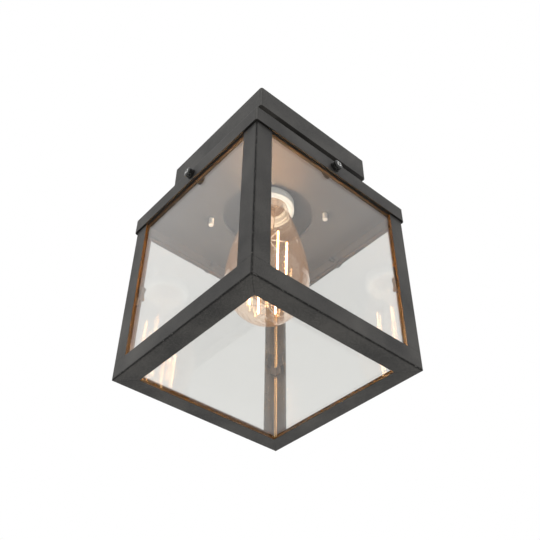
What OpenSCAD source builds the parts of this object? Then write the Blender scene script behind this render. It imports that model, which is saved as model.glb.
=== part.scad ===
// Square porch ceiling lantern: folded steel canopy, neck and lid, with a welded
// angle frame of clear panes that drops off the lid to reach a screw-in bulb.
// Origin on the ceiling plane, on the lantern's axis; the lantern hangs to -Z.

/* [Frame] */
// Outside width of the square frame
frame_w = 155; // [140:1:175]
// Height of the frame's underside below the lid's lower edge
frame_drop = 145.8; // [130:0.1:180]
// Flange width of the corner posts and bottom rails
angle_w = 14.6; // [12:0.1:18]
// Steel thickness of posts and rails
angle_t = 1.5; // [1.2:0.1:2]
// Outside bend radius of posts and rails
angle_r = 1.6; // [0.8:0.1:2.5]
// Inward lip of the top rails, over the panes' upper edges
lip_w = 4.7; // [4.6:0.1:6]
// How far the top rails' lip hangs below the lid's edge
lip_drop = 0.4; // [0.4:0.1:3]

/* [Glass] */
// Thickness of the clear panes
pane_t = 3; // [2.5:0.1:3]
// Gap left between a pane's edge and the steel round it
pane_gap = 0.3; // [0.2:0.05:0.6]

/* [Corner clips] */
// Height of one corner clip
clip_h = 8; // [6:0.5:12]
// Reach of a clip's wing over its pane
clip_wing = 6.5; // [5:0.5:9]
// Sheet thickness of the clips
clip_t = 1.2; // [0.8:0.1:1.6]

/* [Lid, neck and canopy] */
// Sheet thickness of lid, neck and canopy
sheet_t = 1.2; // [1:0.1:1.5]
// Outside corner radius of the folded boxes
fold_r = 2; // [1.6:0.1:3]
// Clearance between the frame and the lid's flange
lid_gap = 0.3; // [0.2:0.05:0.5]
// Height of the lid's flange
lid_h = 13.8; // [12.5:0.1:18]
// Outside width of the neck box
neck_w = 100; // [96:1:106]
// Height of the neck between lid and canopy
neck_h = 40.8; // [36:0.1:50]
// Outside width of the canopy
canopy_w = 119; // [114:1:130]
// Height of the canopy
canopy_h = 23.1; // [20:0.1:32]
// Diameter of the round opening through lid, reflector and neck floor
roof_hole_d = 72; // [60:1:76]
// Width of the neck's inward top flanges
flange_w = 12; // [11:0.5:14]

/* [Reflector] */
// Sheet thickness of the reflector pan
pan_t = 0.8; // [0.5:0.1:1]
// Depth of the reflector pan's folded rim
pan_h = 9; // [7:0.5:10]
// Clearance round the pan inside the top rails
pan_gap = 0.6; // [0.4:0.1:1]

/* [Screws] */
// Thread diameter of the lantern's machine screws
screw_d = 4; // [3.5:0.5:4]
// Head diameter of the pan-head screws
head_d = 7.6; // [7:0.1:8]
// Head height of the pan-head screws
head_h = 2.8; // [2.4:0.1:3.2]
// Clearance on diameter of a drilled hole round a screw
hole_gap = 0.4; // [0.2:0.1:0.6]
// Depth of the cross recess in a head
recess = 1.4; // [1:0.1:1.6]
// Distance of the two roof screws from the axis, along the diagonal
roof_screw_r = 46.1; // [44:0.1:48]
// Length of the roof screws under the head
roof_screw_len = 23; // [22:0.5:26]
// Length of a side screw under its head
side_screw_len = 10.5; // [9:0.5:14]
// Head height of a side screw
side_head_h = 4; // [3:0.1:4.6]
// Thickness of the dark sealing washer under a side screw's head
washer_t = 1.2; // [0.6:0.1:1.4]
// Across-flats width of the nuts
nut_af = 7; // [6.5:0.1:7.5]
// Height of the nuts
nut_h = 3.2; // [2.4:0.1:3.4]

/* [Ceiling strap] */
// Width of the ceiling strap
strap_w = 24; // [20:1:30]
// Thickness of the ceiling strap
strap_t = 2; // [1.5:0.1:2.5]
// Distance between the two ceiling slots
slot_pitch = 60; // [50:1:62]
// Width of a ceiling slot
slot_w = 4.6; // [4:0.1:6]
// Length of a ceiling slot
slot_len = 12; // [10:0.5:16]
// Diameter of the cable hole in the strap
cable_d = 10.5; // [8:0.5:12]

/* [Lampholder] */
// Outside diameter of the white collar
collar_d = 41.4; // [41:0.1:46]
// Height of the collar's straight wall below its bracket
collar_h = 7.4; // [6:0.1:9]
// Height of the collar's bevelled end
collar_bevel = 2.6; // [1:0.1:4]
// Mouth of the collar
collar_mouth = 34.6; // [33.6:0.1:36]
// Diameter of the skirt that carries the collar through the bracket
skirt_d = 37.4; // [36.8:0.1:38]
// Outside diameter of the holder's body
holder_d = 42; // [41:0.5:44]
// Height of the holder's body above its bracket
holder_h = 29; // [28.5:0.5:30]
// Thickness of the holder's top over the contact
holder_top = 4.6; // [4:0.1:6]
// Sheet thickness of the bracket
bracket_t = 1.5; // [1.2:0.1:2]
// Height of the bracket's underside above the lid's top
bracket_rise = 12.4; // [10:0.1:14]
// Length of the threaded shell
shell_len = 24; // [22:0.5:24.5]
// Running clearance between plain round parts of the holder and the cap
round_gap = 0.35; // [0.3:0.05:0.5]
// Thread diameter of the bulb's cap
cap_d = 26.2; // [26:0.1:26.4]
// Depth of the cap's rolled thread
thread_h = 1; // [0.6:0.1:1.2]
// Pitch of the cap's rolled thread
thread_p = 3.63; // [3.5:0.01:3.8]
// Sheet thickness of cap and threaded shell
cap_t = 0.4; // [0.3:0.05:0.5]

/* [Bulb] */
// Largest diameter of the bulb's glass
bulb_d = 63.6; // [60:0.1:66]
// Length of the bulb from its tip to the end contact
bulb_len = 143; // [140:0.5:146]
// Length of the bulb's metal cap with its contact
cap_len = 26; // [25.5:0.5:27]
// Height of the widest point above the bulb's tip
bulb_belly = 33.5; // [30:0.5:36]
// Diameter of the glass shoulder just below the cap
bulb_neck_d = 30.4; // [29:0.1:31]
// Turn of the cosine that draws the flank from belly to shoulder, in degrees
flank_turn = 135; // [125:1:150]
// Wall of the bulb's glass
bulb_t = 0.8; // [0.6:0.1:1]
// Length of a filament stick
stick_len = 62; // [55:1:66]
// Diameter of a filament stick
stick_d = 1.7; // [1.5:0.1:2.4]
// Distance of the sticks from the axis at their upper ends
stick_r_top = 14.5; // [12:0.5:17.5]
// Distance of the sticks from the axis at their lower ends
stick_r_low = 13; // [9:0.5:16]
// Depth of the sticks' upper ends below the cap
stick_drop = 42; // [36:0.5:44]
// Diameter of the wires that carry the sticks
wire_d = 0.7; // [0.5:0.1:1]

/* [Wiring] */
// Outside diameter of an insulated lead
lead_d = 2.4; // [2:0.1:2.6]
// Length of the connector block
block_l = 30; // [28:1:31]
// Width of the connector block
block_w = 15; // [13:0.5:15]
// Height of the connector block
block_h = 10; // [9:0.5:12]

/* [Hidden] */
$fn = 48;

// Levels, measured down from the ceiling
canopy_z = -canopy_h;
canopy_floor = canopy_z + sheet_t;
lid_top = canopy_z - neck_h;
lid_low = lid_top - lid_h;
foot_z = lid_low - frame_drop;
lip_z = lid_low - lip_drop;
seat_z = foot_z + angle_t;
pan_z = lid_top - sheet_t;
floor_z = lid_top + sheet_t;
screw_z = (lid_top + lid_low) / 2;
rail_top_z = pan_z - lid_gap;
pane_top = lip_z - pane_gap;

// Half widths
fh = frame_w / 2;
inner = fh - angle_t;
lid_half = fh + lid_gap + sheet_t;
pane_in = inner - pane_t;
pane_half = pane_in - pane_gap;
pan_half = inner - pan_gap;
neck_half = neck_w / 2;
canopy_way = neck_w - 2 * flange_w;
joint_r = neck_half - flange_w / 2;
foot_half = canopy_w / 2 - sheet_t - pane_gap;

// Lampholder and bulb
bracket_z = lid_top + bracket_rise;
plate_z = bracket_z + bracket_t;
rim_z = bracket_z - collar_h;
mouth_z = rim_z - collar_bevel;
body_top = plate_z + holder_h;
shell_top = body_top - holder_top;
contact_z = shell_top - 2.5;
tip_z = contact_z - bulb_len;
belly_z = tip_z + bulb_belly;
cap_low = contact_z - cap_len;
shoulder_z = cap_low - 3;
bulb_r = bulb_d / 2;
neck_r = bulb_neck_d / 2;
cap_r = cap_d / 2;
glass_in = cap_r - cap_t - 0.2;
shell_r = cap_r + round_gap;
stick_top = cap_low - stick_drop;
stick_low = stick_top - stick_len;
stick_dirs = [-11, 49, 109, 169, 229, 289];
hole_d = screw_d + hole_gap;

// Wiring: the block sits on the canopy floor beside the neck's nut
block_x = 23;
block_y = (canopy_way / 2 + canopy_w / 2 - sheet_t) / 2;
pole = block_l * 0.3;
wire_z = canopy_floor + 4;
tag_z = plate_z;
tag_dir = [1, -1, 0] / sqrt(2);
tag_mid = [roof_screw_r, roof_screw_r, 0] / sqrt(2);

dark = [0.3, 0.3, 0.29];
steel = [0.7, 0.7, 0.68];
white = [0.93, 0.93, 0.91];
brass = [0.8, 0.66, 0.38];
clear = [0.8, 0.85, 0.85, 0.35];

// ---- shared shapes ----

// Square with exact round corners
module soft_square(w, r) {
    square([w - 2 * r, w], center = true);
    square([w, w - 2 * r], center = true);
    for (x = [-1, 1], y = [-1, 1])
        translate([x * (w / 2 - r), y * (w / 2 - r)]) circle(r);
}

// Folded tray with a closed face at z = 0: outside width w, height h, wall t
module tray(w, h, t, r) {
    difference() {
        linear_extrude(h) soft_square(w, r);
        translate([0, 0, t]) linear_extrude(h) soft_square(w - 2 * t, r - t / 2);
    }
}

// Outline of an angle: legs a along X and b along Y, bend at the origin corner
module angle_outline(a, b, t, r) {
    difference() {
        union() {
            square([a, t]);
            square([t, b]);
        }
        difference() {
            square(r);
            translate([r, r]) circle(r);
        }
    }
}

// Through hole of diameter d at x, y between two levels
module drill(x, y, d, z0, z1) {
    translate([x, y, z0 - 1]) cylinder(d = d, h = z1 - z0 + 2);
}

// The two holes of the roof screws
module roof_drills(d, z0, z1) {
    for (k = [-1, 1]) rotate(45) drill(k * roof_screw_r, 0, d, z0, z1);
}

// The four side holes at the screws' level, from radius r0 to r1
module side_drills(d, r0, r1) {
    for (a = [0:90:270]) rotate(a)
        translate([r0, 0, screw_z]) rotate([0, 90, 0]) cylinder(d = d, h = r1 - r0);
}

// Pan-head machine screw: head above z = 0, shank below
module pan_screw(len, hh = head_h) {
    difference() {
        union() {
            rotate_extrude() intersection() {
                translate([0, hh - head_d]) circle(head_d, $fn = 96);
                square([head_d / 2, hh]);
            }
            translate([0, 0, -len]) cylinder(d = screw_d, h = len + 0.1);
        }
        for (a = [0, 90]) rotate(a)
            translate([-1.9, -0.4, hh - recess]) cube([3.8, 0.8, recess + 1]);
    }
}

module hex_nut() {
    difference() {
        cylinder(d = nut_af / cos(30), h = nut_h, $fn = 6);
        translate([0, 0, -1]) cylinder(d = screw_d, h = nut_h + 2);
    }
}

// Straight round bar from a to b
module bar(a, b, d) {
    v = b - a;
    translate(a) rotate([0, acos(v[2] / norm(v)), atan2(v[1], v[0])]) cylinder(d = d, h = norm(v));
}

// Round bar along a list of points
module swept(pts, d, sides = 8) {
    n = len(pts);
    dir = [for (i = [0:n - 1])
        let (a = pts[max(i - 1, 0)], b = pts[min(i + 1, n - 1)]) (b - a) / norm(b - a)];
    ref = [0.31, 0.86, 0.4];
    ring = [for (i = [0:n - 1])
        let (u = cross(dir[i], ref) / norm(cross(dir[i], ref)), v = cross(dir[i], u))
        for (k = [0:sides - 1])
            pts[i] + d / 2 * (u * cos(360 * k / sides) + v * sin(360 * k / sides))];
    quads = [for (i = [0:n - 2], k = [0:sides - 1])
        [i * sides + k, i * sides + (k + 1) % sides,
         (i + 1) * sides + (k + 1) % sides, (i + 1) * sides + k]];
    polyhedron(ring, concat(
        [[for (k = [0:sides - 1]) k]],
        [for (q = quads) [q[0], q[2], q[1]]],
        [for (q = quads) [q[0], q[3], q[2]]],
        [[for (k = [sides - 1:-1:0]) (n - 1) * sides + k]]), convexity = 4);
}

// Point on a corner at parameter t of a quadratic curve, to round a lead's route
function bend(p, i, t) = let (a = (p[i - 1] + p[i]) / 2, b = (p[i] + p[i + 1]) / 2)
    a * (1 - t) * (1 - t) + p[i] * 2 * t * (1 - t) + b * t * t;
function route(p) = concat([p[0]],
    [for (i = [1:len(p) - 2], t = [0, 0.33, 0.67]) bend(p, i, t)],
    [(p[len(p) - 2] + p[len(p) - 1]) / 2, p[len(p) - 1]]);

// ---- ceiling canopy, strap and neck ----

module canopy() {
    color(dark) difference() {
        translate([0, 0, canopy_z]) tray(canopy_w, canopy_h, sheet_t, fold_r);
        translate([0, 0, canopy_z - 1]) linear_extrude(sheet_t + 2) soft_square(canopy_way, 3);
        for (a = [0:90:270]) rotate(a) drill(joint_r, 0, hole_d, canopy_z, canopy_floor);
    }
}

// U-shaped strap: web against the ceiling, feet turned in on the canopy's floor
module ceiling_strap() {
    color(steel) difference() {
        union() {
            translate([-foot_half, -strap_w / 2, -strap_t]) cube([2 * foot_half, strap_w, strap_t]);
            for (k = [0, 1]) mirror([k, 0, 0]) {
                translate([foot_half - strap_t, -strap_w / 2, canopy_floor])
                    cube([strap_t, strap_w, -canopy_floor]);
                translate([canopy_way / 2 + 0.5, -strap_w / 2, canopy_floor])
                    cube([foot_half - canopy_way / 2 - 0.5, strap_w, strap_t]);
            }
        }
        for (k = [-1, 1]) {
            translate([k * slot_pitch / 2, 0, 0]) {
                for (e = [-1, 1]) drill(e * (slot_len - slot_w) / 2, 0, slot_w, -strap_t, 0);
                translate([-(slot_len - slot_w) / 2, -slot_w / 2, -strap_t - 1])
                    cube([slot_len - slot_w, slot_w, strap_t + 2]);
            }
            drill(k * joint_r, 0, hole_d, canopy_floor, canopy_floor + strap_t);
        }
        drill(0, 0, cable_d, -strap_t, 0);
    }
}

// Folded box between lid and canopy, with flanges turned in at its top
module neck() {
    color(dark) difference() {
        translate([0, 0, lid_top]) linear_extrude(neck_h) soft_square(neck_w, fold_r);
        translate([0, 0, floor_z]) linear_extrude(neck_h - 2 * sheet_t)
            soft_square(neck_w - 2 * sheet_t, fold_r - sheet_t / 2);
        translate([0, 0, canopy_z - sheet_t - 1]) linear_extrude(sheet_t + 2)
            soft_square(canopy_way, 3);
        drill(0, 0, roof_hole_d, lid_top, floor_z);
        roof_drills(hole_d, lid_top, floor_z);
        for (a = [0:90:270]) rotate(a) drill(joint_r, 0, hole_d, canopy_z - sheet_t, canopy_z);
    }
}

module neck_screws() {
    grip = 2 * sheet_t + strap_t + nut_h + 1.4;
    color(steel) for (a = [0:90:270]) rotate(a)
        translate([joint_r, 0, canopy_z - sheet_t]) mirror([0, 0, 1]) pan_screw(grip);
}

module neck_nuts() {
    color(steel) for (a = [0:90:270]) rotate(a)
        translate([joint_r, 0, canopy_floor + (a % 180 == 0 ? strap_t : 0)]) hex_nut();
}

// ---- lid and reflector ----

module lid() {
    color(dark) difference() {
        translate([0, 0, lid_top]) mirror([0, 0, 1]) tray(2 * lid_half, lid_h, sheet_t, fold_r);
        drill(0, 0, roof_hole_d, pan_z, lid_top);
        roof_drills(screw_d + 0.1, pan_z, lid_top);
        side_drills(hole_d, inner, lid_half + 1);
    }
}

// Pan that hides the lid's folds; the side screws hold its rim as well
module reflector() {
    color(dark) difference() {
        translate([0, 0, pan_z]) mirror([0, 0, 1]) tray(2 * pan_half, pan_h, pan_t, fold_r);
        drill(0, 0, roof_hole_d, pan_z - pan_t, pan_z);
        roof_drills(hole_d, pan_z - pan_t, pan_z);
        side_drills(hole_d, pan_half - 5, pan_half + 1);
    }
}

// ---- lampholder ----

// Inverted pan on the neck's floor: its plate carries the holder
module holder_bracket() {
    half = neck_half - sheet_t - 0.4;
    color(dark) difference() {
        translate([0, 0, plate_z]) mirror([0, 0, 1])
            tray(2 * half, plate_z - floor_z, bracket_t, fold_r);
        drill(0, 0, skirt_d + 2 * round_gap, bracket_z, plate_z);
        roof_drills(hole_d, bracket_z, plate_z);
    }
}

// The screw at the positive corner clamps the earth tag under its head
module roof_screws() {
    color(steel) for (k = [0, 1]) rotate(45 + 180 * k)
        translate([roof_screw_r, 0, plate_z + (k == 0 ? pan_t : 0)]) pan_screw(roof_screw_len);
}

module holder_body() {
    r = holder_d / 2;
    lip = shell_r + cap_t + round_gap;
    color(white) difference() {
        rotate_extrude() difference() {
            union() {
                translate([0, plate_z]) square([r, holder_h - 3]);
                translate([0, body_top - 3]) square([r - 3, 3]);
                translate([r - 3, body_top - 3]) circle(3);
                translate([0, rim_z]) square([skirt_d / 2, plate_z - rim_z]);
            }
            translate([0, mouth_z]) square([neck_r + 0.8, cap_low + 0.5 - mouth_z]);
            translate([0, mouth_z]) square([lip, shell_top - mouth_z]);
        }
        for (k = [-1, 1]) {
            translate([k * 7, 12, body_top - 4]) cylinder(d = lead_d + 0.2, h = 5);
            translate([k * 7, 5, body_top - 3.4]) cylinder(d = 3, h = 5);
        }
    }
}

// Ring screwed on the skirt from below, with a bevelled mouth
module holder_collar() {
    r = collar_d / 2;
    m = collar_mouth / 2;
    b = skirt_d / 2 + round_gap;
    color(white) rotate_extrude() polygon([[b, rim_z], [b, bracket_z], [r, bracket_z],
        [r, rim_z], [m + 1.2, mouth_z], [m, mouth_z + 0.6], [m, rim_z - 0.4]]);
}

// Threaded shell: rolled waves outside the cap's own, with room for the cap to pass
module holder_shell() {
    z0 = shell_top - shell_len;
    color(brass) rotate_extrude() difference() {
        translate([0, z0]) square([shell_r + cap_t, shell_top - z0]);
        translate([0, z0 - 1]) square([shell_r, shell_top - z0 + 1 - cap_t]);
        translate([0, shell_top - 1]) square([7, 2]);
        for (i = [0:3]) translate([shell_r + cap_t + 0.15, z0 + 4 + i * thread_p]) circle(0.4, $fn = 24);
    }
}

// Spring tongue over the bulb's end contact, on its stud
module holder_contact() {
    color(brass) {
        translate([0, 0, contact_z + 0.3]) cylinder(d = 8, h = 0.6);
        translate([0, 0, contact_z + 0.8]) cylinder(d = 3, h = shell_top - contact_z - 0.8);
    }
}

module holder_terminals() {
    color(brass) for (k = [-1, 1]) translate([k * 7, 5, body_top]) difference() {
        union() {
            cylinder(d = 5, h = 1.6);
            translate([0, 0, -3.4]) cylinder(d = 3, h = 3.5);
        }
        translate([-3, -0.4, 0.8]) cube([6, 0.8, 2]);
    }
}

// ---- wiring ----

module connector_block() {
    color(white) difference() {
        translate([block_x, block_y, canopy_floor]) union() {
            translate([-block_l / 2, -block_w / 2, 0]) cube([block_l, block_w, block_h - 3]);
            for (i = [-1:1]) translate([i * pole, 0, 0])
                translate([-3.4, -block_w / 2 + 0.8, 0]) cube([6.8, block_w - 1.6, block_h]);
        }
        for (i = [-1:1]) translate([block_x + i * pole, block_y, 0]) {
            translate([0, block_w, wire_z]) rotate([90, 0, 0]) cylinder(d = lead_d + 0.6, h = 2 * block_w);
            for (k = [-1, 1]) drill(0, k * 3.6, 2.6, wire_z + 1, canopy_floor + block_h);
        }
    }
}

module connector_screws() {
    top = canopy_floor + block_h;
    for (i = [-1:1], k = [-1, 1]) color(brass)
        translate([block_x + i * pole, block_y + k * 3.6, wire_z + lead_d / 2 + 0.3]) difference() {
            cylinder(d = 2.6, h = top - wire_z - lead_d / 2 - 1.3);
            translate([-2, -0.25, top - wire_z - lead_d / 2 - 2]) cube([4, 0.5, 2]);
        }
}

// Two leads from the holder's terminals up through the way into the block
module lamp_leads() {
    y_in = block_y - block_w / 2 + 5;
    for (k = [-1, 1]) color([0.35, 0.25, 0.2]) {
        x_out = k < 0 ? block_x - pole : block_x;
        swept(route([[k * 7, 12, body_top - 3.6], [k * 7, 12, body_top + 6],
            [x_out, 24, body_top + 6], [x_out, 34, wire_z], [x_out, y_in, wire_z]]), lead_d);
    }
}

module earth_lead() {
    x_in = block_x + pole;
    y_in = block_y - block_w / 2 + 5;
    end = tag_mid + tag_dir * 9.5 + [0, 0, tag_z + 1.7];
    wall = neck_half - sheet_t;
    way = canopy_way / 2;
    color([0.45, 0.6, 0.2]) swept(route([end, end + tag_dir * 7, [wall - 5, wall - 27, -40],
        [way - 3.5, way - 7, -27], [x_in, way - 5, wire_z], [x_in, y_in, wire_z]]), lead_d);
}

// Ring under the roof screw's head, with a crimped barrel to one side
module earth_tag() {
    color(steel) translate([0, 0, tag_z]) translate(tag_mid) rotate(-45) difference() {
        union() {
            cylinder(d = 8.4, h = pan_t);
            translate([0, -1.6, 0]) cube([6.5, 3.2, pan_t]);
            translate([6, 0, 1.7]) rotate([0, 90, 0]) cylinder(d = lead_d + 1, h = 6);
        }
        drill(0, 0, hole_d, 0, pan_t);
        translate([8.5, 0, 1.7]) rotate([0, 90, 0]) cylinder(d = lead_d + 0.2, h = 9);
    }
}

// ---- cage ----

// Corner post k, standing on the bottom rails and under the top rails
module post(k) {
    low = foot_z + angle_w;
    color(dark) rotate(90 * k) translate([-fh, -fh, low])
        linear_extrude(lip_z - low) angle_outline(angle_w, angle_w, angle_t, angle_r);
}

// Mitred angle rail k along one side: inward leg a, upright leg b
module rail(k, z, a, b) {
    color(dark) rotate(90 * k) intersection() {
        translate([-fh, -fh, z]) rotate([90, 0, 90])
            linear_extrude(frame_w) angle_outline(a, b, angle_t, angle_r);
        translate([0, 0, z - 1]) linear_extrude(b + 2) intersection() {
            polygon([[0, 0], [-frame_w, -frame_w], [frame_w, -frame_w]]);
            soft_square(frame_w, angle_r);
        }
    }
}

module rail_low(k) {
    rail(k, foot_z, angle_w, angle_w);
}

// Top rail with its tapped hole for the side screw
module rail_top(k) {
    color(dark) difference() {
        rail(k, lip_z, lip_w, rail_top_z - lip_z);
        side_drills(screw_d + 0.1, inner - 1, fh + 1);
    }
}

module pane(k) {
    color(clear) rotate(90 * k) translate([-pane_half, -inner, seat_z])
        cube([2 * pane_half, pane_t, pane_top - seat_z]);
}

module pane_bottom() {
    color(clear) translate([-pane_half, -pane_half, seat_z])
        cube([2 * pane_half, 2 * pane_half, pane_t]);
}

// Angle clips at mid height that hold the panes' edges against the posts
module corner_clips() {
    gap = inner - pane_half - 0.05;
    color(dark) for (a = [0:90:270]) rotate(a)
        translate([0, 0, (seat_z + pane_top - clip_h) / 2]) linear_extrude(clip_h) {
            translate([-inner, -inner]) square(gap);
            translate([-pane_in, -pane_in]) square([clip_wing, clip_t]);
            translate([-pane_in, -pane_in]) square([clip_t, clip_wing]);
        }
}

// Side screw k with its dark washer
module side_screw(k) {
    color([0.2, 0.2, 0.2]) rotate(90 * k) translate([0, -lid_half, screw_z]) rotate([90, 0, 0]) {
        translate([0, 0, washer_t]) pan_screw(side_screw_len, side_head_h);
        difference() {
            cylinder(d = head_d + 0.8, h = washer_t);
            translate([0, 0, -1]) cylinder(d = screw_d, h = washer_t + 2);
        }
    }
}

// ---- bulb ----

// Radius of the flank at fraction s of its height, thinner by t
function flank(s, t) = neck_r - t
    + (bulb_r - neck_r) * (cos(flank_turn * s) - cos(flank_turn)) / (1 - cos(flank_turn));
// Outline from the tip up to the shoulder, for wall depth t
function bulb_side(t) = concat(
    [for (a = [0:9:90]) [(bulb_r - t) * sin(a), belly_z - (bulb_belly - t) * cos(a)]],
    [for (s = [0.06:0.0725:0.93]) [flank(s, t), belly_z + (shoulder_z - belly_z) * s]],
    [[flank(1, t), shoulder_z]]);

module bulb_glass() {
    rise = cap_low + 3.4;
    color(clear) rotate_extrude($fn = 64) polygon(concat(
        bulb_side(0), [[glass_in, cap_low - 0.3], [glass_in, rise], [glass_in - bulb_t, rise],
            [glass_in - bulb_t, cap_low - 0.6]],
        [for (i = [len(bulb_side(bulb_t)) - 1:-1:0]) bulb_side(bulb_t)[i]]));
}

// Rolled metal cap: skirt, thread waves and crimped end
module bulb_cap() {
    top = contact_z - 4.4;
    turns = floor((top - cap_low - 4.6) / thread_p);
    wave = [for (i = [0:turns * 6]) [-thread_h / 2 + thread_h / 2 * cos(60 * i + 180),
        cap_low + 4 + i * thread_p / 6]];
    outer = concat([[cap_r, cap_low], [cap_r, cap_low + 3.6]],
        [for (w = wave) [cap_r + w[0], w[1]]], [[cap_r - thread_h, top - 2], [8.4, top]]);
    color(steel) rotate_extrude() polygon(concat(outer,
        [for (i = [len(outer) - 1:-1:0]) [outer[i][0] - cap_t - (i == len(outer) - 1 ? 0.6 : 0),
            outer[i][1] - (i > len(outer) - 3 ? cap_t : 0)]]));
}

module bulb_insulator() {
    top = contact_z - 4.4;
    color([0.1, 0.1, 0.1]) rotate_extrude()
        polygon([[0, top - 0.5], [7.2, top - 0.5], [7.2, top], [8, top],
            [5.2, contact_z - 1.2], [0, contact_z - 1.2]]);
}

module bulb_contact() {
    color(steel) translate([0, 0, contact_z - 1.2]) cylinder(r1 = 4.6, r2 = 3.4, h = 1.2);
}

// Flare sealed in the neck, tube, pinch and the rod down to the lower bead
module bulb_stem() {
    flare_r = glass_in - bulb_t - 0.1;
    pinch = stick_top + 6;
    color(clear) rotate_extrude() polygon([[0, cap_low + 3], [flare_r, cap_low + 3],
        [flare_r, cap_low + 2.2], [5, cap_low - 4], [4.2, pinch + 12], [2.2, pinch],
        [1, pinch - 3], [1, stick_low + 1], [1.8, stick_low], [1, stick_low - 1.6], [0, stick_low - 2]]);
}

function stick_end(a, r, z) = [r * cos(a), r * sin(a), z];

module bulb_wires() {
    color(steel) for (a = stick_dirs) {
        bar(stick_end(a, 1.5, stick_top + 3), stick_end(a, stick_r_top, stick_top + 1.2), wire_d);
        bar(stick_end(a, 2.1, stick_low - 0.4), stick_end(a, stick_r_low, stick_low - 0.4), wire_d);
    }
}

module bulb_filaments() {
    color([1, 0.85, 0.5]) for (a = stick_dirs)
        bar(stick_end(a, stick_r_low, stick_low), stick_end(a, stick_r_top, stick_top + 0.8), stick_d);
}

canopy();
ceiling_strap();
neck();
neck_screws();
neck_nuts();
lid();
reflector();
holder_bracket();
roof_screws();
holder_body();
holder_collar();
holder_shell();
holder_contact();
holder_terminals();
connector_block();
connector_screws();
lamp_leads();
earth_lead();
earth_tag();
post(0);  // post_left
post(1);  // post_near
post(2);  // post_right
post(3);  // post_far
rail_low(0);  // rail_bottom_front
rail_low(1);  // rail_bottom_right
rail_low(2);  // rail_bottom_back
rail_low(3);  // rail_bottom_left
rail_top(0);  // rail_top_front
rail_top(1);  // rail_top_right
rail_top(2);  // rail_top_back
rail_top(3);  // rail_top_left
pane(0);  // pane_front
pane(1);  // pane_right
pane(2);  // pane_back
pane(3);  // pane_left
pane_bottom();
corner_clips();
side_screw(0);  // side_screw_front
side_screw(1);  // side_screw_right
side_screw(2);  // side_screw_back
side_screw(3);  // side_screw_left
bulb_glass();
bulb_cap();
bulb_insulator();
bulb_contact();
bulb_stem();
bulb_wires();
bulb_filaments();
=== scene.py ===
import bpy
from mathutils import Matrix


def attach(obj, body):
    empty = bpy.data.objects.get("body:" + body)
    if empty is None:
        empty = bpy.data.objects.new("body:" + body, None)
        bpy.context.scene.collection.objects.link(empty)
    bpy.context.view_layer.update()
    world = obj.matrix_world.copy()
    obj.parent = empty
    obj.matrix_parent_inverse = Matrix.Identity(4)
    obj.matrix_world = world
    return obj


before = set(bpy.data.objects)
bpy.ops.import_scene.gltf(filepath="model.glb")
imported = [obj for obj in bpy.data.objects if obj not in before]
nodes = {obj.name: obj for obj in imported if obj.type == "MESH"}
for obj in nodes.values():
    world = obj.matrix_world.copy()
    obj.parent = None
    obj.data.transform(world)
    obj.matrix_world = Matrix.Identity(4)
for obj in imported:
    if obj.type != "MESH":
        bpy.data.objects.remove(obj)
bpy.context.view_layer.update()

import math

import bmesh
import bpy
from mathutils import Matrix, Vector

# ---- The camera ----
# The photograph is taken from below, a little over half a metre away, looking up at the
# lantern's near corner. The camera's place was worked out from the frame's edges.
AZIMUTH, ELEVATION, ROLL = 49.5741, -41.6159, 0.7407
FOCAL_PX, FRAME_PX, SENSOR_MM = 752.366, 540, 36
DISTANCE, SIDE_SHIFT, RISE_SHIFT = 0.57649, -0.00236, -0.01624
NEAR_CLIP = 0.01
AIM = Vector((0, 0, -0.146))

az, el, roll = (math.radians(a) for a in (AZIMUTH, ELEVATION, ROLL))
back = Vector((math.sin(az) * math.cos(el), -math.cos(az) * math.cos(el), math.sin(el)))
right = Vector((math.cos(az), math.sin(az), 0))
up = back.cross(right)
side = math.cos(roll) * right + math.sin(roll) * up
rise = math.cos(roll) * up - math.sin(roll) * right
lens = bpy.data.cameras.new("camera")
lens.sensor_width = SENSOR_MM
lens.lens = FOCAL_PX / FRAME_PX * SENSOR_MM
lens.clip_start = NEAR_CLIP
camera = bpy.data.objects.new("camera", lens)
bpy.context.scene.collection.objects.link(camera)
place = AIM + DISTANCE * back - SIDE_SHIFT * side - RISE_SHIFT * rise
turn = Matrix((side, rise, back)).transposed().to_4x4()
camera.matrix_world = Matrix.Translation(place) @ turn
bpy.context.scene.camera = camera


# ---- Light, floor and background ----
# A white room: soft light from all round, a little stronger from above and from the left
# of the picture. The floor is far below the lantern.
def linear(code):
    """sRGB hex to the linear colour that a socket holds."""
    levels = [int(code[i:i + 2], 16) / 255 for i in (0, 2, 4)]
    return [v / 12.92 if v < 0.04045 else ((v + 0.055) / 1.055) ** 2.4 for v in levels] + [1]


def add(tree, kind, sockets=None, **settings):
    """One shader node, with its settings, and its sockets set or linked."""
    made = tree.nodes.new(kind)
    for key, value in settings.items():
        setattr(made, key, value)
    for key, value in (sockets or {}).items():
        if isinstance(value, bpy.types.NodeSocket):
            tree.links.new(value, made.inputs[key])
        else:
            made.inputs[key].default_value = value
    return made


def seen_by_eye(tree):
    """1 for rays that show a background: straight, mirrored or through glass."""
    path = add(tree, "ShaderNodeLightPath")
    first = add(tree, "ShaderNodeMath", {0: path.outputs["Is Camera Ray"],
                                         1: path.outputs["Is Glossy Ray"]}, operation="MAXIMUM")
    both = add(tree, "ShaderNodeMath", {0: first.outputs[0],
                                        1: path.outputs["Is Transmission Ray"]}, operation="MAXIMUM")
    return both.outputs[0]


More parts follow.
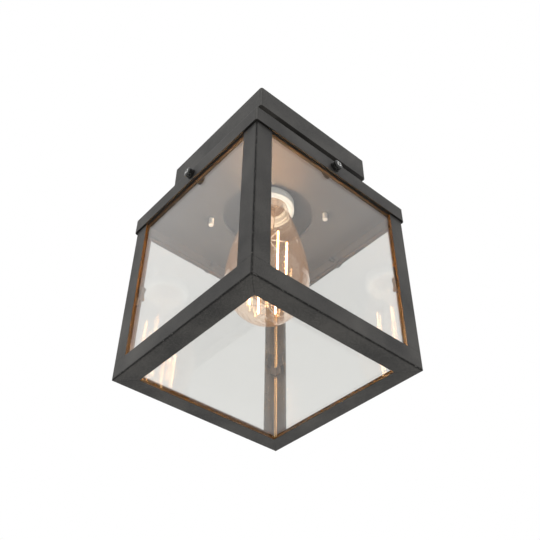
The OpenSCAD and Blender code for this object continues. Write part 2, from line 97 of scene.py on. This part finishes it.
LIGHT_FROM = (-0.06, -0.2, 0.3)
LIGHT_LEVEL = 0.8
world = bpy.data.worlds.new("white_room")
bpy.context.scene.world = world
world.use_nodes = True
tree = world.node_tree
tree.nodes.clear()
ray = add(tree, "ShaderNodeTexCoord")
slope = add(tree, "ShaderNodeVectorMath", {0: ray.outputs["Generated"], 1: LIGHT_FROM},
            operation="DOT_PRODUCT")
level = add(tree, "ShaderNodeMath", {0: slope.outputs["Value"], 1: LIGHT_LEVEL, 2: LIGHT_LEVEL},
            operation="MULTIPLY_ADD")
glow = add(tree, "ShaderNodeBackground", {"Color": (1, 1, 1, 1), "Strength": level.outputs[0]})
white = add(tree, "ShaderNodeBackground", {"Color": (1, 1, 1, 1), "Strength": 1.0})
mixed = add(tree, "ShaderNodeMixShader", {0: seen_by_eye(tree), 1: glow.outputs[0],
                                          2: white.outputs[0]})
add(tree, "ShaderNodeOutputWorld", {"Surface": mixed.outputs[0]})

view = bpy.context.scene.view_settings
view.view_transform = "Standard"

FLOOR_Z, FLOOR_SIZE, FLOOR_COLOUR = -2.1, 9, "E8E8E6"
FADE_FROM, FADE_TO = 1.2, 4.2
bpy.ops.object.select_all(action="DESELECT")
bpy.ops.mesh.primitive_plane_add(size=FLOOR_SIZE, location=(0, 0, FLOOR_Z))
floor = bpy.context.object
floor.name = "floor"
floor_paint = bpy.data.materials.new("pale_floor_paint")
floor_paint.use_nodes = True
tree = floor_paint.node_tree
tree.nodes.clear()
matt = add(tree, "ShaderNodeBsdfDiffuse", {"Color": linear(FLOOR_COLOUR)})
pale = add(tree, "ShaderNodeEmission", {"Color": linear(FLOOR_COLOUR), "Strength": 1.0})
white = add(tree, "ShaderNodeEmission", {"Color": (1, 1, 1, 1), "Strength": 1.0})
path = add(tree, "ShaderNodeLightPath")
mirrored = add(tree, "ShaderNodeMath", {0: path.outputs["Is Glossy Ray"],
                                        1: path.outputs["Is Transmission Ray"]}, operation="MAXIMUM")
near = add(tree, "ShaderNodeMixShader", {0: mirrored.outputs[0], 1: matt.outputs[0],
                                         2: pale.outputs[0]})
# Far out, the floor runs into the white of the room.
spot = add(tree, "ShaderNodeTexCoord")
reach = add(tree, "ShaderNodeVectorMath", {0: spot.outputs["Object"]}, operation="LENGTH")
fade = add(tree, "ShaderNodeMapRange", {"Value": reach.outputs["Value"], "From Min": FADE_FROM,
                                        "From Max": FADE_TO}, interpolation_type="SMOOTHSTEP")
shown = add(tree, "ShaderNodeMath", {0: fade.outputs[0], 1: seen_by_eye(tree)},
            operation="MULTIPLY")
mixed = add(tree, "ShaderNodeMixShader", {0: shown.outputs[0], 1: near.outputs[0],
                                          2: white.outputs[0]})
add(tree, "ShaderNodeOutputMaterial", {"Surface": mixed.outputs[0]})
floor.data.materials.append(floor_paint)


def lamp(name, toward, distance, size, watts):
    """White square soft box that faces the lantern's middle."""
    data = bpy.data.lights.new(name, "AREA")
    data.size = size
    data.energy = watts
    box = bpy.data.objects.new(name, data)
    bpy.context.scene.collection.objects.link(box)
    toward = Vector(toward).normalized()
    box.location = AIM + toward * distance
    box.rotation_euler = toward.to_track_quat("Z", "Y").to_euler()
    return box


# Both pairs are kept out of mirror images, or their squares would show in the panes.
HIGH_BOX = {"distance": 0.9, "size": 0.5, "watts": 1.4}
LOW_BOX = {"distance": 1.6, "size": 0.2, "watts": 8}
for high in (lamp("high_box_left", (-0.66, -0.68, 0.45), **HIGH_BOX),
             lamp("high_box_right", (0.70, 0.66, 0.45), **HIGH_BOX)):
    high.visible_glossy = high.visible_transmission = False
for low in (lamp("low_box_left", (-0.57, -0.66, -0.49), **LOW_BOX),
            lamp("low_box_right", (0.62, 0.60, -0.50), **LOW_BOX)):
    low.visible_camera = low.visible_transmission = low.visible_glossy = False


# ---- Powder-coated steel: canopy, neck, lid, reflector, bracket, posts and rails ----
# Folded and welded mild steel under one coat of structured dark grey polyester powder.
# It gives the eye a dull, slightly grainy skin with no clear mirror image.
def finish(name, colour, roughness, metallic=0.0, **more):
    """A material with one Principled shader, and the tree and shader to build on."""
    made = bpy.data.materials.new(name)
    made.use_nodes = True
    base = made.node_tree.nodes["Principled BSDF"]
    base.inputs["Base Color"].default_value = linear(colour)
    base.inputs["Roughness"].default_value = roughness
    base.inputs["Metallic"].default_value = metallic
    for key, value in more.items():
        base.inputs[key.replace("_", " ")].default_value = value
    return made, made.node_tree, base


def dress(material, *names):
    """The material goes on every slot of these CAD nodes."""
    for name in names:
        piece = nodes[name]
        piece.data.materials.clear()
        piece.data.materials.append(material)


# How far the two noises spread, where a bend begins and is full, and where its painted glints show.
NOISE_LOW, NOISE_HIGH = 0.7, 1.3
BEND_BEGINS, BEND_FULL = 0.99, 0.74
GLINT_BEGINS, GLINT_FULL, GLINT_TONE = 0.6, 0.7, "7C7A77"


def grain(tree, base, dark, light, size_mm, depth_mm, patch_mm=30, edge_mm=0, painted_bend_tone="1E1E1E"):
    """Colour that wanders between two tones, bumps of the given size and depth, and edges that the
    coat rounds off. Along the bends a painted tone goes in, with painted glints: near black for
    painted shade, lighter for a painted highlight, as the tone given."""
    spot = add(tree, "ShaderNodeTexCoord")
    patch = add(tree, "ShaderNodeTexNoise", {"Vector": spot.outputs["Object"],
                                             "Scale": 1000 / patch_mm, "Detail": 3})
    speck = add(tree, "ShaderNodeTexNoise", {"Vector": spot.outputs["Object"],
                                             "Scale": 1000 / size_mm, "Detail": 2})
    both = add(tree, "ShaderNodeMath", {0: patch.outputs[0], 1: speck.outputs[0]}, operation="ADD")
    ramp = add(tree, "ShaderNodeMapRange", {"Value": both.outputs[0], "From Min": NOISE_LOW,
                                            "From Max": NOISE_HIGH})
    tone = add(tree, "ShaderNodeMix", {0: ramp.outputs[0], 6: linear(dark), 7: linear(light)},
               data_type="RGBA")
    bump = add(tree, "ShaderNodeBump", {"Height": speck.outputs[0], "Strength": 0.6,
                                        "Distance": depth_mm / 1000})
    if edge_mm:
        soft = add(tree, "ShaderNodeBevel", {"Radius": edge_mm / 1000}, samples=6)
        tree.links.new(soft.outputs[0], bump.inputs["Normal"])
        slope = add(tree, "ShaderNodeVectorMath", {0: soft.outputs[0]}, operation="ABSOLUTE")
        part = add(tree, "ShaderNodeSeparateXYZ", {0: slope.outputs[0]})
        level = add(tree, "ShaderNodeMath", {0: part.outputs[0], 1: part.outputs[1]},
                    operation="MAXIMUM")
        level = add(tree, "ShaderNodeMath", {0: level.outputs[0], 1: part.outputs[2]},
                    operation="MAXIMUM")
        bend = add(tree, "ShaderNodeMapRange", {"Value": level.outputs[0], "From Min": BEND_BEGINS,
                                                "From Max": BEND_FULL})
        dots = add(tree, "ShaderNodeMapRange", {"Value": speck.outputs[0], "From Min": GLINT_BEGINS,
                                                "From Max": GLINT_FULL})
        glint = add(tree, "ShaderNodeMix", {0: dots.outputs[0], 6: linear(painted_bend_tone),
                                           7: linear(GLINT_TONE)}, data_type="RGBA")
        tone = add(tree, "ShaderNodeMix", {0: bend.outputs[0], 6: tone.outputs[2],
                                           7: glint.outputs[2]}, data_type="RGBA")
        # The bends are made metallic, so they mirror their painted tone: painted shade where it is
        # dark, a painted highlight where it is light.
        tree.links.new(bend.outputs[0], base.inputs["Metallic"])
    tree.links.new(tone.outputs[2], base.inputs["Base Color"])
    tree.links.new(bump.outputs[0], base.inputs["Normal"])


# The powder's grit is about 0.4 mm; it is drawn at 0.8 mm, or it would be lost in a pixel.
powder_coat, tree, base = finish("structured_powder_coat", "282726", 0.5, Specular_IOR_Level=0.25)
# Its bends are drawn near black with light specks: painted shade along the folds, with painted
# glints.
grain(tree, base, "1E1D1C", "413F3C", 0.8, 0.14, edge_mm=0.8)
steelwork = [n for n in nodes if n.startswith(("post_", "rail_bottom_"))]
dress(powder_coat, "corner_clips", *steelwork)
# On the two folded sheets the folds are drawn lighter and metallic: a painted highlight along them.
folded_coat, tree, base = finish("folded_powder_coat", "282726", 0.5, Specular_IOR_Level=0.25)
grain(tree, base, "1E1D1C", "403E3B", 0.8, 0.14, edge_mm=0.7, painted_bend_tone="5E5D5B")
dress(folded_coat, "canopy", "lid")
# Behind the lid and under the rails' lips the coat is drawn darker and dull: painted shade for these
# shaded parts.
shade_coat, tree, base = finish("painted_shade_powder_coat", "1B1A19", 0.7, Specular_IOR_Level=0.15)
grain(tree, base, "171615", "211F1D", 0.8, 0.03)
dress(shade_coat, "neck", "holder_bracket", *(n for n in nodes if n.startswith("rail_top_")))
# The same painted shade goes on the cut edge of the lid's flange, which lies just below this height.
FLANGE_EDGE_Z = -0.0768
sheet = nodes["lid"].data
sheet.materials.append(shade_coat)
for face in sheet.polygons:
    if face.normal.z < -0.5 and face.center.z < FLANGE_EDGE_Z:
        face.material_index = 1
# The reflector's coat has a smoother flow, so the bulb's light lies on it as a soft patch.
satin_coat, tree, base = finish("satin_powder_coat", "242322", 0.32, Specular_IOR_Level=0.5)
grain(tree, base, "20201F", "2A2928", 0.8, 0.006)
dress(satin_coat, "reflector")
# Inside the cage the coat is slick and coloured a warm brown-gold: painted reflection of the sticks'
# light, which the coat also throws back in streaks. The far post keeps the structured coat, because
# the photograph shows it grey above its clip. A face below this measure looks inwards.
INWARD = -0.05
inner_coat, tree, base = finish("painted_warm_reflection_coat", "3F2C16", 0.2, Specular_IOR_Level=0.45)
grain(tree, base, "332412", "4E371A", 1.6, 0.015, 12)
for name in steelwork:
    if name == "post_far":
        continue
    sheet = nodes[name].data
    sheet.materials.append(inner_coat)
    for face in sheet.polygons:
        spot, way = face.center, face.normal
        if spot.x * way.x + spot.y * way.y < INWARD:
            face.material_index = 1


# ---- Zinc-plated fasteners, strap and earth tag ----
# Pressed and cold-headed steel, bright zinc plated: a pale grey metal with a soft sheen.
# The bulb's wires and its end contact are of a like bright metal.
zinc_plate, tree, base = finish("bright_zinc_plate", "D9DADB", 0.4, 0.6)
grain(tree, base, "CFD0D1", "E0E1E2", 1.2, 0.01, 8)
dress(zinc_plate, "ceiling_strap", "neck_screws", "neck_nuts", "earth_tag", "bulb_wires",
      "bulb_contact")
# The roof screws get a paler, less mirror-like copy of the zinc plate, so their ends show nearly
# white: painted brightness for the light falling on them.
pale_zinc, tree, base = finish("pale_zinc_plate", "F4F4F2", 0.4, 0.1)
grain(tree, base, "EEEEEC", "FAFAF8", 1.2, 0.01, 8)
dress(pale_zinc, "roof_screws")


# ---- Clip tongues ----
# Each corner clip presses its two panes with forked tongues that just pass the posts' legs.
# They are black rubber-dipped spring steel, one on each pane beside each post.
TONGUE_IN, TONGUE_END, TONGUE_T = 0.0666, 0.0616, 0.0011
TONGUE_LOW, TONGUE_TOP, PANE_FACE = -0.1475, -0.1335, 0.0729
FORK_DEPTH, TIP_R, EDGE_R = 0.0014, 0.0024, 0.0002
NEAR = 0.0001
half, height = (TONGUE_IN - TONGUE_END) / 2, TONGUE_TOP - TONGUE_LOW
rubber_dip, tree, base = finish("black_rubber_dip", "0F0F0F", 0.45)
grain(tree, base, "0B0B0B", "151515", 0.8, 0.02, 8)
bpy.ops.object.select_all(action="DESELECT")
bpy.ops.mesh.primitive_cube_add(size=1, location=(0, 0, 0))
tongue = bpy.context.object
tongue.name = "clip_tongues"
bpy.ops.object.mode_set(mode="EDIT")
bpy.ops.transform.resize(value=(TONGUE_IN - TONGUE_END, TONGUE_T, height))
bpy.ops.mesh.bisect(plane_co=(0, 0, 0), plane_no=(0, 0, 1))
# The end is drawn in at mid height, which makes the fork, and its corners are rounded.
skin = bmesh.from_edit_mesh(tongue.data)
bpy.ops.mesh.select_all(action="DESELECT")
for vert in skin.verts:
    vert.select = vert.co.x > half * 0.9 and abs(vert.co.z) < NEAR
skin.select_flush_mode()
bpy.ops.transform.translate(value=(-FORK_DEPTH, 0, 0))
skin = bmesh.from_edit_mesh(tongue.data)
bpy.ops.mesh.select_all(action="DESELECT")
for edge in skin.edges:
    ends = [v.co for v in edge.verts]
    edge.select = all(e.x > half * 0.9 and abs(e.z) > height / 4 for e in ends)
bpy.ops.mesh.bevel(offset=TIP_R, segments=5)
bpy.ops.object.mode_set(mode="OBJECT")
bpy.ops.transform.translate(value=(-(TONGUE_IN + TONGUE_END) / 2, TONGUE_T / 2 - PANE_FACE,
                                   (TONGUE_LOW + TONGUE_TOP) / 2))
bpy.ops.object.transform_apply()
bpy.ops.object.modifier_add(type="BEVEL")
tongue.modifiers[0].width = EDGE_R
bpy.ops.object.modifier_apply(modifier=tongue.modifiers[0].name)
# Its mirror image lies on the other pane beside the post, and each corner has the two.
mirrored = tongue.data.copy()
mirrored.transform(Matrix(((0, 1, 0, 0), (1, 0, 0, 0), (0, 0, 1, 0), (0, 0, 0, 1))))
mirrored.flip_normals()
every = bmesh.new()
for quarter in range(4):
    for sheet in (tongue.data, mirrored):
        turned = sheet.copy()
        turned.transform(Matrix.Rotation(math.radians(90 * quarter), 4, "Z"))
        every.from_mesh(turned)
every.to_mesh(tongue.data)
every.free()
tongue.data.materials.append(rubber_dip)
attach(tongue, "cage")


# ---- Side screws ----
# Pan-head machine screws with a cross recess and a dark washer, black coated. The coating is a
# little glossy, so the head's rim catches small lights; those in the recess are painted.
black_oxide, tree, base = finish("black_oxide_steel", "2A2A29", 0.24, 0.5)
grain(tree, base, "232322", "313130", 0.7, 0.02, 5)
side_screws = ("side_screw_front", "side_screw_right", "side_screw_back", "side_screw_left")
dress(black_oxide, *side_screws)
# The recess's walls and floor are drawn in bright steel: painted glints for the small lights it
# catches.
recess_glint_steel, tree, base = finish("painted_glint_recess_steel", "D8D8D6", 0.22, 0.9)
grain(tree, base, "C4C4C2", "E6E6E4", 0.7, 0.01, 5)
SCREW_Z, HEAD_TOP, RECESS_DEPTH, RECESS_R = -0.0708, 0.0842, 0.0015, 0.00205
for name in side_screws:
    sheet = nodes[name].data
    sheet.materials.append(recess_glint_steel)
    along = 1 if name.endswith(("front", "back")) else 0
    for face in sheet.polygons:
        spot = face.center
        off_axis = math.hypot(spot[1 - along], spot.z - SCREW_Z)
        depth = HEAD_TOP - abs(spot[along])
        if off_axis < RECESS_R and NEAR < depth < RECESS_DEPTH:
            face.material_index = 1


# ---- Window panes ----
# Five panes of clear 3 mm float glass. Each takes a little light out of what is seen
# through it, a touch more of the blue, and mirrors the white room at a slant.
def clear_glass(name, tint, ior, **more):
    """Glass that bends what the eye sees through it and lets the lamps' light pass."""
    made, tree, base = finish(name, tint, 0.0, Transmission_Weight=1.0, IOR=ior, **more)
    path = add(tree, "ShaderNodeLightPath")
    passing = add(tree, "ShaderNodeMath", {0: path.outputs["Is Shadow Ray"],
                                           1: path.outputs["Is Diffuse Ray"]}, operation="MAXIMUM")
    open_air = add(tree, "ShaderNodeBsdfTransparent", {"Color": linear("F8F8F6")})
    mixed = add(tree, "ShaderNodeMixShader", {0: passing.outputs[0], 1: base.outputs[0],
                                              2: open_air.outputs[0]})
    tree.links.new(mixed.outputs[0], tree.nodes["Material Output"].inputs["Surface"])
    return made


float_glass = clear_glass("float_glass", "ECECEA", 1.52, Specular_IOR_Level=1.0)
dress(float_glass, "pane_front", "pane_right", "pane_back", "pane_left", "pane_bottom")

# The cut edges are ground dull, a pale line drawn in a warm tan: the bulb's warm light on them is
# painted into the tone. The top edges, under the rails' lips, are coloured dark brown.
ground_edge, tree, base = finish("ground_glass_edge", "C2AC84", 0.55)
grain(tree, base, "A88F64", "D0BC96", 1.0, 0.05)
brown_top_edge, tree, base = finish("brown_pane_top_edge", "3A2D20", 0.9, Specular_IOR_Level=0.1)
grain(tree, base, "33281C", "433526", 1.5, 0.05, 12)
for name, across in (("pane_front", 1), ("pane_right", 0), ("pane_back", 1), ("pane_left", 0),
                     ("pane_bottom", 2)):
    sheet = nodes[name].data
    sheet.materials.append(ground_edge)
    sheet.materials.append(brown_top_edge)
    for face in sheet.polygons:
        if abs(face.normal[across]) < 0.5:
            face.material_index = 2 if face.normal.z > 0.5 else 1


# ---- Lampholder ----
# Glazed white porcelain body and collar round a plain brass threaded shell. The porcelain glows
# faintly of itself: painted light, standing in for the lit bulb's light on it. The connector block
# in the canopy is porcelain too and glows the same.
porcelain, tree, base = finish("glazed_porcelain", "EDEDEA", 0.25, Emission_Strength=0.16,
                               Emission_Color=linear("FFF6EA"))
grain(tree, base, "F2F2EF", "FAFAF8", 3, 0.01, 12)
dress(porcelain, "holder_body", "holder_collar", "connector_block")
sheet_brass, tree, base = finish("sheet_brass", "C9A25E", 0.3, 1.0)
grain(tree, base, "B98F4C", "D3AE6B", 1.5, 0.01, 6)
dress(sheet_brass, "holder_shell", "holder_contact", "holder_terminals", "connector_screws")


# ---- Leads ----
# Two brown lamp leads and one green earth lead in soft plastic insulation.
brown_pvc, tree, base = finish("brown_lead_insulation", "4A2E1E", 0.45)
grain(tree, base, "422818", "523424", 2, 0.01, 10)
dress(brown_pvc, "lamp_leads")
green_pvc, tree, base = finish("green_lead_insulation", "5C8A2A", 0.45)
grain(tree, base, "4E7A22", "6B9B33", 2, 0.01, 10)
dress(green_pvc, "earth_lead")


# ---- Bulb ----
# Pear-shaped blown glass with a nickel-plated cap, a glass stem and six long filament sticks under
# an amber coat. The glass and stem glow faintly warm of themselves: painted glow for the sticks'
# light in the glass.
blown_glass = clear_glass("blown_bulb_glass", "FAF6F0", 1.45, Emission_Strength=0.056,
                          Emission_Color=linear("FFAE50"), Specular_IOR_Level=1.0)
dress(blown_glass, "bulb_glass", "bulb_stem")
nickel, tree, base = finish("nickel_plated_cap", "C8BFAE", 0.28, 1.0)
grain(tree, base, "B9AF9C", "D2C9B8", 1.5, 0.01, 6)
dress(nickel, "bulb_cap")
black_glass, tree, base = finish("black_cap_glass", "141414", 0.15)
grain(tree, base, "101010", "181818", 2, 0.01, 6)
dress(black_glass, "bulb_insulator")


# ---- Filament sticks ----
# Each stick is a row of light-giving chips on a strip, under a clear amber silicone coat.
# The chips give white light; the coat round them glows orange.
amber_coat, tree, base = finish("amber_silicone_coat", "F2A552", 0.4)
base.inputs["Emission Color"].default_value = linear("FF9A45")
base.inputs["Emission Strength"].default_value = 1.6
clear = add(tree, "ShaderNodeBsdfTransparent", {"Color": linear("FFF2DE")})
mixed = add(tree, "ShaderNodeMixShader", {0: 0.3, 1: clear.outputs[0], 2: base.outputs[0]})
tree.links.new(mixed.outputs[0], tree.nodes["Material Output"].inputs["Surface"])
dress(amber_coat, "bulb_filaments")

chip_light, tree, base = finish("lit_chip_row", "FFE0B0", 0.5)
base.inputs["Emission Color"].default_value = linear("FFE6BE")
base.inputs["Emission Strength"].default_value = 40.0
STICK_WAYS = (-11, 49, 109, 169, 229, 289)
STICK_TOP, STICK_LOW = Vector((0.0145, 0, -0.0953)), Vector((0.013, 0, -0.1581))
CHIP_R, CHIP_EDGE = 0.00068, 0.0001
COAT_R, COAT_OVER = 0.0013, 0.0012
SHINE_W, SHINE_L, STICK_WATTS = 0.001, 0.06, 0.2
for number, way in enumerate(STICK_WAYS, 1):
    bpy.ops.mesh.primitive_cylinder_add(vertices=16, radius=CHIP_R, depth=1, location=(0, 0, 0))
    row = bpy.context.object
    row.name = f"chip_row_{number}"
    bpy.ops.object.mode_set(mode="EDIT")
    bpy.ops.mesh.bevel(offset=CHIP_EDGE, segments=1)
    bpy.ops.object.mode_set(mode="OBJECT")
    spin = Matrix.Rotation(math.radians(way), 4, "Z")
    top, low = spin @ STICK_TOP, spin @ STICK_LOW
    along = (top - low).normalized()
    row.scale = (1, 1, (top - low).length - COAT_OVER)
    row.location = (top + low) / 2
    row.rotation_euler = along.to_track_quat("Z", "Y").to_euler()
    bpy.ops.object.transform_apply()
    row.data.materials.append(chip_light)
    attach(row, "bulb")
    row.select_set(False)

    # The light that a stick throws outwards comes from a thin lamp just outside its coat.
    data = bpy.data.lights.new(f"stick_light_{number}", "AREA")
    data.shape = "RECTANGLE"
    data.size, data.size_y = SHINE_W, SHINE_L
    data.energy = STICK_WATTS
    data.color = linear("FFC48E")[:3]
    shine = bpy.data.objects.new(data.name, data)
    bpy.context.scene.collection.objects.link(shine)
    outward = spin @ Vector((1, 0, 0))
    outward = (outward - outward.dot(along) * along).normalized()
    face = Matrix((along.cross(-outward), along, -outward)).transposed()
    shine.matrix_world = Matrix.Translation((top + low) / 2 + outward * COAT_R) @ face.to_4x4()
    shine.visible_camera = shine.visible_transmission = False

# The light that stays round the sticks, for the white collar and the screw ends.
HEART_Z, HEART_R, HEART_WATTS = -0.115, 0.01, 0.6
data = bpy.data.lights.new("bulb_heart", "POINT")
data.energy = HEART_WATTS
data.color = linear("FFF0E0")[:3]
data.shadow_soft_size = HEART_R
heart = bpy.data.objects.new("bulb_heart", data)
heart.location = (0, 0, HEART_Z)
bpy.context.scene.collection.objects.link(heart)
heart.visible_camera = heart.visible_transmission = heart.visible_glossy = False
